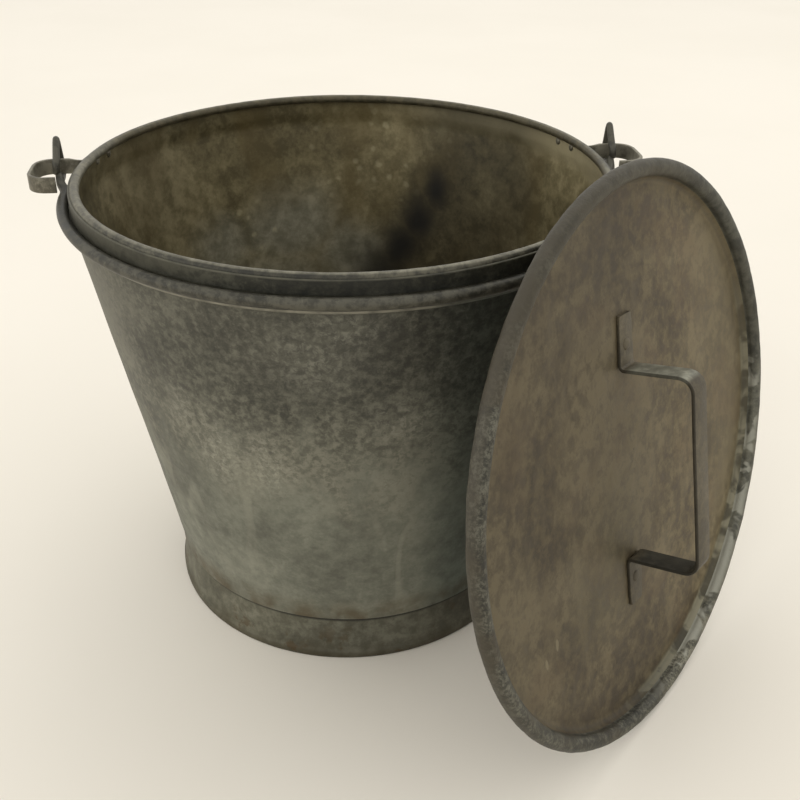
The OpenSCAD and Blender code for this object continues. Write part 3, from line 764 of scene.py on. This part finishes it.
def ear_path(s):
    pts = []
    R = 155.65 + 1.0
    for i in range(15):
        a = math.radians(25.0 - (25.0 - 12.2) * i / 14)
        pts.append((R * math.cos(a), R * math.sin(a)))
    # bend out of the tab into the back leg
    c = Vector(pts[-1])
    end = Vector((160.2, 28.0))
    corner = Vector((154.3, 28.1))
    for i in range(1, 9):
        t = i / 8
        q = c * (1 - t) ** 2 + corner * 2 * t * (1 - t) + end * t * t
        pts.append((q.x, q.y))
    pts += [(163.0, 28.0), (166.4, 28.0)]
    pts += [(168.65 + 10 * math.sin(math.radians(a)), 18.0 + 10 * math.cos(math.radians(a))) for a in range(0, 91, 9)]
    pts += [(178.65, 14.5), (178.65, 11.5), (178.65, 8.5)]
    pts += [(168.65 + 10 * math.cos(math.radians(a)), 5.0 - 10 * math.sin(math.radians(a))) for a in range(0, 91, 9)]
    pts += [(166.5, -5.0), (164.6, -5.0), (162.85, -5.0)]
    return [(s * x, y, 270.5) for x, y in pts]


def ear_section(i, s_):
    q = 0.0 if i < 14 else min(1.0, (i - 14) / 8)
    t = 1.96
    sec = rrect(t, 7.4 + 1.6 * q, 0.55)
    wear = 0.12 * math.sin(i * 0.9)
    return [(a, b - 1.9 * (1 - q) + (wear * 0.3 if b > 0 else 0)) for a, b in sec]


for s, side in ((-1, "left"), (1, "right")):
    sweep("ear_" + side + "_strap", ear_path(s), ear_section, [MAT["ear"]], "bucket", up=(0, 0, 1), nodes=("ear_" + side,), slot="dark_zinc", sharp=45)


def dome(cx, z0, ra, h, n=5):
    return [(ra * math.cos(math.radians(90 * i / n)), z0 + h * math.sin(math.radians(90 * i / n))) for i in range(n)] + [(0, z0 + h)]


def rivets(name, mats, body, node, places, length, r, r_out, r_in, slot, up_h=1.0, dn_h=1.0, matrix=None):
    """Rivets of two domed heads and a shank, all in one mesh: places are matrices with +Z out of the work, origin at the inner face."""
    prof_ = [(0, -dn_h)] + [(r_in * math.sin(math.radians(90 * i / 5)), -dn_h * math.cos(math.radians(90 * i / 5))) for i in range(1, 5)] + [(r_in, 0), (r, 0.02), (r, length - 0.02), (r_out, length)]
    prof_ += [(r_out * math.cos(math.radians(90 * i / 5)), length + up_h * math.sin(math.radians(90 * i / 5))) for i in range(1, 5)] + [(0, length + up_h)]
    n = 28
    verts, faces = [], []
    for M_ in places:
        rows = []
        for (rr, z) in prof_:
            if rr < 1e-6:
                rows.append([len(verts)] * n)
                verts.append(M_ @ Vector((0, 0, z)))
            else:
                rows.append(list(range(len(verts), len(verts) + n)))
                for i in range(n):
                    a = 2 * math.pi * i / n
                    e = 1 + 0.04 * math.sin(a * 3 + z)
                    verts.append(M_ @ Vector((rr * e * math.cos(a), rr * e * math.sin(a), z)))
        for j in range(len(prof_) - 1):
            A, B = rows[j], rows[j + 1]
            for i in range(n):
                k = (i + 1) % n
                if A[0] == A[1]:
                    faces.append((A[0], B[k], B[i]))
                elif B[0] == B[1]:
                    faces.append((A[i], A[k], B[0]))
                else:
                    faces.append((A[i], A[k], B[k], B[i]))
    return build(name, verts, faces, mats, body, nodes=(node,), slot=slot, matrix=matrix, sharp=50)


for s, side in ((-1, "left"), (1, "right")):
    pl = []
    for az in (16.5, 22.0):
        a = math.radians(az)
        d = Vector((s * math.cos(a), math.sin(a), 0))
        t = Vector((0, 0, 1)).cross(d)
        M_ = Matrix((t, d.cross(t), d)).transposed().to_4x4()
        M_.translation = d * 153.16 + Vector((0, 0, 268.2))
        pl.append(M_)
    rivets("ear_rivets_" + side + "_heads", [MAT["rivet"]], "bucket", "ear_rivets_" + side, pl, 157.68 - 153.16, 1.6, 2.8, 2.3, "rivet", 1.0, 1.1)

# ---------------------------------------------------------------- bail
H = Vector((166.4, 28.0, 270.5))
er, tip, ta = 7.3, 16.5, 75.0
a0 = math.degrees(math.acos(er / tip))


def eye_point(r, ang, dx=0.0):
    return H + Vector((dx, r * math.cos(math.radians(ang)), r * math.sin(math.radians(ang))))


def bail_half():
    """From the hoop's end to the end of the eye, right side, with a radius at each point."""
    pts, rad = [], []
    ctrl = [Vector((159.2 * math.cos(math.radians(-6)), 159.2 * math.sin(math.radians(-6)), 263.8)), Vector((158.83, -10.8, 263.8)), Vector((159.2, -2.5, 263.8)), Vector((160.6, 5.0, 263.95)), Vector((163.6, 12.5, 264.9)), eye_point(er, 205, -0.7)]
    rr = [3.22, 3.2, 3.05, 2.9, 2.6, 2.25]
    sm = smooth_path(ctrl, 6)
    for i, p in enumerate(sm):
        t = i / (len(sm) - 1) * (len(rr) - 1)
        k = min(int(t), len(rr) - 2)
        pts.append(p); rad.append(rr[k] + (rr[k + 1] - rr[k]) * (t - k))
    # round the eye under the hinge line, out to the tip, and back over it
    n = 12
    start, stop = 213.0, 360 + ta - a0
    for i in range(n + 1):
        ang = start + (stop - start) * i / n
        pts.append(eye_point(er, ang, -0.5 * (1 - i / n))); rad.append(2.2 - 0.08 * i / n)
    T = eye_point(tip, ta)
    A = eye_point(er, ta - a0)
    B = eye_point(er, ta + a0)
    for i in range(1, 5):
        q = i / 5.0
        pts.append(A * (1 - q) + T * q); rad.append(2.1 - 0.1 * q)
    # the tight turn at the tip
    d1, d2 = (A - T).normalized(), (B - T).normalized()
    p1, p2 = T + d1 * 2.6, T + d2 * 2.6
    for i in range(7):
        q = i / 6.0
        pts.append(p1 * (1 - q) ** 2 + T * 2 * q * (1 - q) + p2 * q * q); rad.append(1.95)
    for i in range(1, 5):
        q = i / 5.0
        pts.append(T * (1 - q) + B * q + Vector((0, 0, 0))); rad.append(2.0 + 0.1 * q)
    for i in range(11):
        ang = ta + a0 + (194.0 - ta - a0) * i / 10
        pts.append(eye_point(er, ang, 0.6 * i / 10)); rad.append(2.1)
    return pts, rad


hp, hr = bail_half()
# drop points that run back on each other at the tip
def clean(pts, rad):
    P, R_ = [pts[0]], [rad[0]]
    for p, r in zip(pts[1:], rad[1:]):
        if (p - P[-1]).length > 0.35:
            P.append(p); R_.append(r)
    return P, R_
hp, hr = clean(hp, hr)
hoop, hoop_r = [], []
nh = 150
for i in range(nh + 1):
    a = math.radians(-174.0 + (174.0 - 6.0) * i / nh)
    hoop.append(Vector((159.2 * math.cos(a), 159.2 * math.sin(a), 263.8)))
    hoop_r.append(3.22 + 0.05 * math.sin(i * 0.37) * math.sin(i * 0.11))
left = [Vector((-p.x, p.y, p.z)) for p in hp][::-1]
path = left[:-1] + hoop + hp[1:]
radii = hr[::-1][:-1] + hoop_r + hr[1:]


def bail_section(i, s_):
    r = radii[i]
    return [(r * math.cos(2 * math.pi * k / 20), r * math.sin(2 * math.pi * k / 20)) for k in range(20)]


sweep("bail_rod_bent", path, bail_section, [MAT["bail"]], "bail", nodes=("bail",), slot="bail_rod", sharp=60)

# ---------------------------------------------------------------- lid
def lid_disp(r, z, a, j):
    if r < 147.5:
        f = min(1.0, r / 30) * min(1.0, (147.5 - r) / 12)
        return 0.0, f * (0.45 * noise.noise(Vector((r * math.cos(a) / 55, r * math.sin(a) / 55, 1.5))) + 0.22 * math.sin(r / 9.5 + 1.2 * math.sin(a * 2)) * min(1, r / 60))
    g = max(0.0, min(1.0, (r - 150) / 3))
    d = 0.20 * ringnoise(a, 7, 3.0) + 0.13 * noise.noise(Vector((math.cos(a) * 28, math.sin(a) * 28, z / 2.2)))
    dr = g * d * (1 if r > 154 else -1)
    dz = g * d * (1 if z > 0 else -1)
    return min(dr, 0.02 if r > 157.8 else 9), dz


top = [(0, -5.35), (12, -5.36), (26, -5.4), (40, -5.42), (52, -5.32), (58, -5.05)] + line((64, -5.0), (142, -5.0), 26) + [(144.5, -4.98), (146.4, -4.85), (147.6, -4.4), (148.4, -3.6), (148.9, -2.6), (149.25, -1.5)]
bead = arc(154.0, 0.0, 4.48, 188, -132, 40)
under = [(150.35, -4.0), (149.7, -4.9), (148.9, -5.7), (147.6, -6.0)] + line((142, -6.0), (64, -6.0), 26) + [(58, -6.05), (52, -6.4), (26, -6.5), (0, -6.55)]
lp = top + bead + under
nt_, nb_ = len(top), len(bead)
lathe("lid_pan_sheet", lp, [MAT["lid"], MAT["lid_edge"]], "lid", n=360, closed=False, disp=lid_disp, mat_of=lambda j: 1 if nt_ - 1 <= j < nt_ + nb_ else 0, nodes=("lid_pan", "lid_wire"), slot="lid_sheet", matrix=LID, sharp=50)

# handle strap


def handle_path():
    z0 = -5 + 0.02 + 1.0
    z1 = -5 + 0.02 + 42 - 1.0
    l = 56.0 - 1.0
    half = [(0, z1), (15, z1), (30, z1), (l - 8.5, z1)]
    half += [(l - 8 + 8 * math.sin(math.radians(t)), z1 - 8 + 8 * math.cos(math.radians(t))) for t in range(0, 91, 10)]
    half += [(l, z1 - 14), (l, z0 + 14), (l, z0 + 6)]
    half += [(l + 2.6 - 2.6 * math.cos(math.radians(t)), z0 + 2.6 - 2.6 * math.sin(math.radians(t))) for t in range(0, 91, 15)]
    half += [(l + 8, z0), (l + 16, z0), (l + 24, z0), (l + 28.9, z0)]
    full = [(-x, z) for x, z in half[::-1]] + half[1:]
    return full


hpath = [(x, 0.0, z + 0.25 * math.sin(x / 24.0) * (1 if z > 20 else 0)) for x, z in handle_path()]


def handle_section(i, s_):
    m_ = len(hpath)
    e = min(i, m_ - 1 - i)
    w = 14.0 if e > 2 else (13.4 if e > 0 else 11.5)
    return rrect(w, 1.95, 0.5)


sweep("lid_handle_strap", hpath, handle_section, [MAT["strap"]], "lid", nodes=("lid_handle",), slot="lid_sheet", matrix=HM, sharp=45)

lr = []
for s in (-1, 1):
    M_ = Matrix.Translation(Vector((s * (56 + 14 - 2), 0, -6.05)))
    lr.append(M_)
rivets("lid_rivets_heads", [MAT["strap"]], "lid", "lid_rivets", lr, 3.12, 1.8, 3.3, 3.1, "rivet", 0.85, 0.85, HM)

# ---------------------------------------------------------------- floor and light
fm = Mat("pale_floor")
fc = fm.mix(fm.mapr(fm.noise(3.0, 3), 0.3, 0.7, 0.0, 0.35), lin(246, 240, 228, 0.93), lin(240, 234, 221, 0.93))
floor_mat = fm.finish(fc, 0.75, 0.0, None, 0.25)
fl = bpy.data.meshes.new("floor")
S = 7.0
fl.from_pydata([(-S, -S, 0), (S, -S, 0), (S, S, 0), (-S, S, 0)], [], [(0, 1, 2, 3)])
fl.materials.append(floor_mat)
floor = bpy.data.objects.new("floor", fl)
floor.location = (0, 0, -0.0002)
scene.collection.objects.link(floor)

world = bpy.data.worlds.new("studio")
scene.world = world
world.use_nodes = True
bg = world.node_tree.nodes["Background"]
bg.inputs[0].default_value = (1.0, 0.985, 0.955, 1)
bg.inputs[1].default_value = 1.06


def area(name, loc, target, size, power, color=(1, 1, 1)):
    d = bpy.data.lights.new(name, "AREA")
    d.shape = "DISK"
    d.size = size
    d.energy = power
    d.color = color
    o = bpy.data.objects.new(name, d)
    scene.collection.objects.link(o)
    o.location = loc
    o.rotation_euler = (Vector(target) - Vector(loc)).to_track_quat("-Z", "Y").to_euler()
    return o


area("key", (0.7, 0.9, 2.2), (0.0, 0.0, 0.1), 1.8, 6, (1.0, 0.985, 0.95))
area("fill_left", (-2.2, -0.9, 1.0), (0.0, 0.0, 0.15), 1.6, 7, (1.0, 0.99, 0.96))
